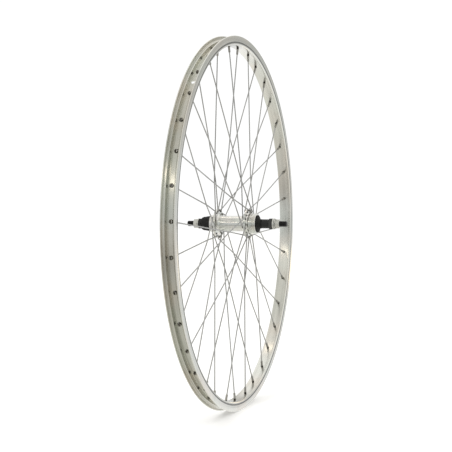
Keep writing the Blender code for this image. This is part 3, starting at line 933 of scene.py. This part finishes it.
def alloy(name, base, warm, cool, roughness, lines, patches, rim=False):
    """Polished aluminium: fine lines round the axle, soft patches of tint, and a few darker smears."""
    finish = WheelFinish(name)
    fine = finish.turned_lines(lines, 3.0)
    broad = finish.turned_lines(lines * 0.3, 1.6)
    cloud = finish.noise(finish.place, patches, 3.0)
    stretched = finish.vector(finish.x, finish.times(finish.y, 2.5), finish.z)
    smear = finish.noise(stretched, patches * 2.6, 4.0)
    colour = finish.ramp(cloud, [(0.36, cool), (0.5, base), (0.64, warm)])
    colour = finish.darken(1.0, colour, broad, [(0.35, 0.84), (0.5, 0.96), (0.65, 1.0)])
    colour = finish.darken(1.0, colour, smear, [(0.55, 1.0), (0.8, 0.9)])
    rough = finish.scaled(fine, 0.08, roughness - 0.04)
    rough = finish.scaled(smear, 0.06, rough, clamp=True)
    if rim:
        side = finish.maths("ABSOLUTE", finish.y)
        # The tyre channel was never polished, so it is rougher, and its colour is also darkened as painted
        # shade in the recess. The groove under the brake track is a painted dark line, standing in for its
        # shade and dark reflection.
        channel = finish.times(finish.between(finish.radius, 302.9, 316.0), finish.between(side, -1.0, 10.4))
        groove = finish.times(finish.between(finish.radius, 304.0, 307.1), finish.between(side, 10.7, 12.0))
        colour = finish.mix(channel, colour, finish.mix(1.0, colour, (0.82, 0.82, 0.80), "MULTIPLY"))
        colour = finish.mix(groove, colour, (0.2, 0.2, 0.185))
        rough = finish.scaled(channel, 0.05, rough)
    tangent = finish.node("ShaderNodeTangent", direction_type="RADIAL", axis="Y")
    finish.link(tangent.outputs[0], finish.shader.inputs["Tangent"])
    finish.bump(finish.scaled(broad, 0.6, fine), 0.1, 0.012)
    return finish.set(colour, rough, 1.0, Anisotropic=0.7, Anisotropic_Rotation=0.25)


def rim_alloy():
    base, warm, cool = (0.81, 0.80, 0.74), (0.83, 0.795, 0.72), (0.79, 0.80, 0.74)
    return alloy("rim_alloy_polished", base, warm, cool, 0.16, 0.5, 0.018, rim=True)


def hub_alloy():
    base, warm, cool = (0.82, 0.82, 0.78), (0.83, 0.81, 0.77), (0.80, 0.82, 0.77)
    return alloy("hub_alloy_polished", base, warm, cool, 0.10, 0.9, 0.06)


def steel(name, base, dull, roughness, scale):
    """Plated or bare steel: a mottled crystal pattern and slightly uneven gloss."""
    finish = WheelFinish(name)
    mottle = finish.noise(finish.place, scale, 4.0)
    speck = finish.noise(finish.place, scale * 7, 2.0)
    lines = finish.turned_lines(3.0, 2.0)
    colour = finish.ramp(mottle, [(0.35, dull), (0.62, base)])
    colour = finish.darken(0.5, colour, lines, [(0.3, 0.75), (0.6, 1.0)])
    rough = finish.scaled(mottle, 0.2, roughness - 0.1)
    rough = finish.scaled(speck, 0.08, rough, clamp=True)
    finish.bump(finish.maths("ADD", speck, lines), 0.3, 0.02)
    return finish.set(colour, rough, 1.0)


def bearing_steel():
    return steel("bearing_steel_ground", (0.62, 0.62, 0.61), (0.5, 0.5, 0.49), 0.2, 0.7)


def joint_steel():
    return steel("joint_steel", (0.5, 0.5, 0.5), (0.38, 0.38, 0.38), 0.4, 0.5)


def zinc_plate():
    return steel("zinc_plate", (0.78, 0.78, 0.74), (0.60, 0.60, 0.56), 0.34, 0.8)


def spoke_wire():
    """Drawn steel wire: gloss that changes slowly along it, faint die marks, and painted shade near the hub,
    at the heads and elbows in the flanges.
    """
    finish = WheelFinish("spoke_wire")
    slow = finish.noise(finish.place, 0.035, 3.0)
    fine = finish.noise(finish.place, 1.6, 3.0)
    colour = finish.ramp(slow, [(0.35, (0.43, 0.43, 0.42)), (0.65, (0.52, 0.52, 0.51))])
    colour = finish.darken(0.6, colour, fine, [(0.3, 0.9), (0.6, 1.0)])
    # Painted shade: the wire is darker within 26 mm of the axle, where its heads and elbows sit in the
    # flanges.
    colour = finish.mix(finish.between(finish.radius, -1.0, 26.0), colour, (0.24, 0.235, 0.22))
    rough = finish.scaled(slow, 0.2, 0.26)
    rough = finish.scaled(fine, 0.1, rough, clamp=True)
    finish.bump(fine, 0.1, 0.01)
    return finish.set(colour, rough, 1.0)


def nipple_nickel():
    """Nickel plate, with painted shade where the nipple meets the rim's bed and round its head in the well.
    """
    finish = WheelFinish("nipple_nickel")
    mottle = finish.noise(finish.place, 0.9, 3.0)
    colour = finish.ramp(mottle, [(0.35, (0.32, 0.31, 0.28)), (0.62, (0.42, 0.41, 0.38))])
    wander = finish.times(finish.maths("SUBTRACT", mottle, 0.5), 1.6)
    # Painted shade: near black where the nipple enters the bed, and a lighter warm shade round its head in
    # the well.
    contact_shade = finish.between(finish.maths("ADD", finish.radius, wander), 298.6, 305.35)
    in_well = finish.between(finish.radius, 302.5, 310.0)
    shade_colour = finish.mix(in_well, (0.06, 0.056, 0.05), (0.22, 0.205, 0.165))
    colour = finish.mix(contact_shade, colour, shade_colour)
    rough = finish.scaled(mottle, 0.2, 0.24)
    rough = finish.scaled(contact_shade, 0.2, rough, clamp=True)
    finish.bump(mottle, 0.2, 0.02)
    return finish.set(colour, rough, 1.0)


def blackened(name, base, worn, roughness, metallic, wear):
    """Black oxide or dark paint on steel, thinner where it has rubbed."""
    finish = WheelFinish(name)
    patch = finish.noise(finish.place, 0.55, 5.0, roughness=0.6)
    grain = finish.noise(finish.place, 5.0, 3.0)
    lines = finish.turned_lines(2.5, 2.0)
    rubbed = finish.scaled(patch, 0.7, finish.times(lines, 0.3))
    colour = finish.ramp(rubbed, [(0.3, base), (wear - 0.06, base), (wear + 0.08, worn)])
    rough = finish.scaled(grain, 0.22, roughness - 0.1)
    finish.bump(finish.maths("ADD", grain, lines), 0.35, 0.03)
    return finish.set(colour, rough, metallic)


def black_oxide():
    return blackened("black_oxide", (0.016, 0.016, 0.016), (0.09, 0.085, 0.08), 0.42, 0.35, 0.68)


def dark_grey():
    return blackened("dark_grey_nut", (0.045, 0.045, 0.044), (0.2, 0.2, 0.19), 0.4, 0.5, 0.62)


def rubber():
    """Moulded rubber: a fine matt grain with a little grey bloom."""
    finish = WheelFinish("moulded_rubber")
    bloom = finish.noise(finish.place, 0.3, 4.0)
    grain = finish.noise(finish.place, 6.0, 3.0)
    colour = finish.ramp(bloom, [(0.4, (0.008, 0.008, 0.008)), (0.75, (0.022, 0.021, 0.02))])
    rough = finish.scaled(bloom, 0.2, 0.5)
    rough = finish.scaled(grain, 0.1, rough, clamp=True)
    finish.bump(grain, 0.4, 0.05)
    return finish.set(colour, rough, 0.0, Specular_IOR_Level=0.25)


# ---- studio

# What the metal mirrors: the colour in each direction, as (degrees, red, green, blue). The degrees are
# counted from +X, up and over to -X, and below the horizon they are negative.
STUDIO = [
    (-180, 0.52, 0.53, 0.54),
    (-171, 0.56, 0.56, 0.57),
    (-164, 0.70, 0.70, 0.70),
    (-145, 0.68, 0.68, 0.67),
    (-125, 0.58, 0.58, 0.56),
    (-90, 0.56, 0.55, 0.52),
    (-60, 0.49, 0.48, 0.45),
    (-40, 0.44, 0.43, 0.41),
    (-24, 0.34, 0.34, 0.33),
    (-8, 0.46, 0.47, 0.47),
    (8, 0.46, 0.47, 0.47),
    (20, 0.54, 0.54, 0.53),
    (26, 0.58, 0.58, 0.56),
    (31, 0.58, 0.58, 0.56),
    (36, 0.50, 0.50, 0.48),
    (60, 0.48, 0.48, 0.46),
    (75, 0.54, 0.53, 0.51),
    (90, 0.60, 0.59, 0.57),
    (112, 0.70, 0.69, 0.68),
    (150, 0.66, 0.66, 0.65),
    (162, 0.46, 0.46, 0.45),
    (172, 0.32, 0.32, 0.31),
    (180, 0.52, 0.53, 0.54),
]
STUDIO_STRENGTH = 1.5
BACKDROP_STRENGTH = 1.05
FLOOR_HALF, FLOOR_Z = 12.0, -0.3172
FLOOR_GLOW = 0.33
CREAM = (1.0, 0.92, 0.81)


def make_world():
    """Plain white to the camera, and the soft studio to everything else."""
    world = bpy.data.worlds.new("studio")
    bpy.context.scene.world = world
    world.use_nodes = True
    nodes = Nodes(world.node_tree)
    nodes.tree.nodes.clear()
    parts = nodes.node("ShaderNodeSeparateXYZ")
    nodes.link(nodes.node("ShaderNodeTexCoord").outputs["Generated"], parts.inputs[0])
    share = nodes.node("ShaderNodeMapRange")
    share.inputs["From Min"].default_value = -pi
    share.inputs["From Max"].default_value = pi
    nodes.link(nodes.maths("ARCTAN2", parts.outputs["Z"], parts.outputs["X"]), share.inputs["Value"])
    stops = [((degrees + 180) / 360, tuple(colour)) for degrees, *colour in STUDIO]
    studio = nodes.node("ShaderNodeBackground")
    studio.inputs["Strength"].default_value = STUDIO_STRENGTH
    nodes.link(nodes.ramp(share.outputs[0], stops), studio.inputs["Color"])
    plain = nodes.node("ShaderNodeBackground")
    plain.inputs["Color"].default_value = (1, 1, 1, 1)
    plain.inputs["Strength"].default_value = BACKDROP_STRENGTH
    mix = nodes.node("ShaderNodeMixShader")
    nodes.link(nodes.node("ShaderNodeLightPath").outputs["Is Camera Ray"], mix.inputs[0])
    nodes.link(studio.outputs[0], mix.inputs[1])
    nodes.link(plain.outputs[0], mix.inputs[2])
    nodes.link(mix.outputs[0], nodes.node("ShaderNodeOutputWorld").inputs[0])


def rectangle(name, across, up, z=0.0, tilt=0.0):
    """A mesh of half sizes across and up, turned by tilt about its normal."""
    corners = [(-across, -up, z), (across, -up, z), (across, up, z), (-across, up, z)]
    turn = Matrix.Rotation(tilt, 3, "Z")
    mesh = bpy.data.meshes.new(name)
    mesh.from_pydata([turn @ Vector(corner) for corner in corners], [], [(0, 1, 2, 3)])
    return mesh


def make_floor():
    floor = add_object("floor", rectangle("floor", FLOOR_HALF, FLOOR_HALF, FLOOR_Z))
    finish = Finish("pale_floor")
    mottle = finish.noise(finish.node("ShaderNodeTexCoord").outputs["Object"], 3.0, 3.0)
    colour = finish.ramp(mottle, [(0.3, (0.9, 0.9, 0.895)), (0.7, (0.94, 0.94, 0.935))])
    finish.set(colour, 0.9, 0.0, Specular_IOR_Level=0.1)
    finish.glow((1, 1, 1), FLOOR_GLOW)
    floor.data.materials.append(finish.material)
    floor.visible_glossy = False


def area_light(name, place, target, size, power, colour):
    data = bpy.data.lights.new(name, "AREA")
    data.shape = "RECTANGLE"
    data.size, data.size_y = size
    data.energy = power
    data.color = colour
    light = aimed(name, data, place, target)
    light.visible_camera = False
    light.visible_glossy = False


def mirror_card(name, place, target, size, strength, tilt=0.0):
    """A cream card, turned by tilt about its normal, that only glossy reflections see."""
    finish = Finish(name)
    finish.set((0, 0, 0), 1.0, 0.0, Specular_IOR_Level=0.0)
    finish.glow(CREAM, strength)
    mesh = rectangle(name, size[0] / 2, size[1] / 2, tilt=tilt)
    mesh.materials.append(finish.material)
    card = aimed(name, mesh, place, target, "Z")
    card.visible_camera = card.visible_diffuse = card.visible_shadow = card.visible_transmission = False


def make_lights():
    mirror_card("near_card", (0.975, -0.1, 0.45), (0, 0, 0), (0.58, 0.08), 2.9, radians(-20))
    mirror_card("upper_card", (-0.28, -0.27, 0.86), (0.15, 0, 0.26), (0.1, 0.14), 2.4)
    mirror_card("far_card", (-1.26, 0.28, -0.14), (-0.3, 0.01, -0.08), (0.4, 0.1), 1.5)
    area_light("key", (1.2, -1.4, 2.2), (0, 0, 0), (1.6, 1.6), 8, (1.0, 0.99, 0.96))


# ---- the wheel


def put(obj, finish, slot, body, *nodes):
    obj.data.materials.append(finish)
    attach(obj, body)
    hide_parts(*nodes)


def fit(node, make, sizes, finish, slot, body):
    """Makes the piece that replaces a node, and puts it in."""
    put(make(f"{node}_detailed", *sizes), finish, slot, body, node)


def put_wheel():
    fit("rim", make_rim, (), rim_alloy(), "rim_alloy", "wheel")
    insert = joint_steel()
    for word, side in SIDES:
        fit(f"rim_joint_pin_{word}", make_joint_pin, (side,), insert, "bearing_steel", "wheel")
    wire, nickel = spoke_wire(), nipple_nickel()
    for k in range(SPOKE_COUNT):
        node = f"spoke_{'right' if k % 2 == 0 else 'left'}_{k // 2 + 1:02d}"
        put(make_spoke(f"{node}_wire", k), wire, "spoke_steel", "wheel", node)
        put(make_nipple(f"{node}_nipple", k), nickel, "spoke_steel", "wheel", node)
    fit("hub_shell", make_hub_shell, (), hub_alloy(), "hub_alloy", "wheel")


def put_bearings(bearing, zinc):
    for word, side in SIDES:
        place = (side, BALL_PLANES[word])
        fit(f"bearing_cup_{word}", make_cup, place, bearing, "bearing_steel", "wheel")
        fit(f"dust_cap_{word}", make_dust_cap, place, zinc, "zinc_steel", "wheel")
        fit(f"ball_cage_{word}", make_ball_cage, place, bearing, "bearing_steel", f"{word}_balls")
        fit(f"cone_{word}", make_cone, (*place, CONE_ENDS[word]), bearing, "bearing_steel", "axle")


def put_axle_pieces(zinc):
    black = (black_oxide(), "black_steel", "axle")
    grey = (dark_grey(), "dark_steel", "axle")
    soft = (rubber(), "black_rubber", "axle")
    bright = (zinc, "zinc_steel", "axle")
    fit("axle", make_axle, (), *black)
    fit("boot_left", make_boot, (), *soft)
    fit("seal_right", make_bell, (), *soft)
    fit("spacer_left", make_spacer, (*SPACER_LEFT, 0.3, 64), *grey)
    fit("spacer_tube_right", make_spacer, (*SPACER_RIGHT, 0.35, 72), *black)
    fit("locknut_left", make_nut, LOCKNUT_LEFT, *black)
    fit("locknut_right", make_nut, LOCKNUT_RIGHT, *grey)
    fit("lock_washer_right", make_washer, LOCK_WASHER, *bright)
    fit("axle_washer_right", make_washer, (*WASHER_RIGHT, True), *bright)
    fit("axle_washer_left", make_washer, WASHER_LEFT, *bright)
    fit("axle_nut_right", make_nut, NUT_RIGHT, *bright)
    fit("axle_nut_left", make_nut, NUT_LEFT, *bright)


def main():
    bearing, zinc = bearing_steel(), zinc_plate()
    put_wheel()
    put_bearings(bearing, zinc)
    put_axle_pieces(zinc)


make_camera()
bpy.context.scene.view_settings.view_transform = "Standard"
make_world()
make_floor()
make_lights()
main()
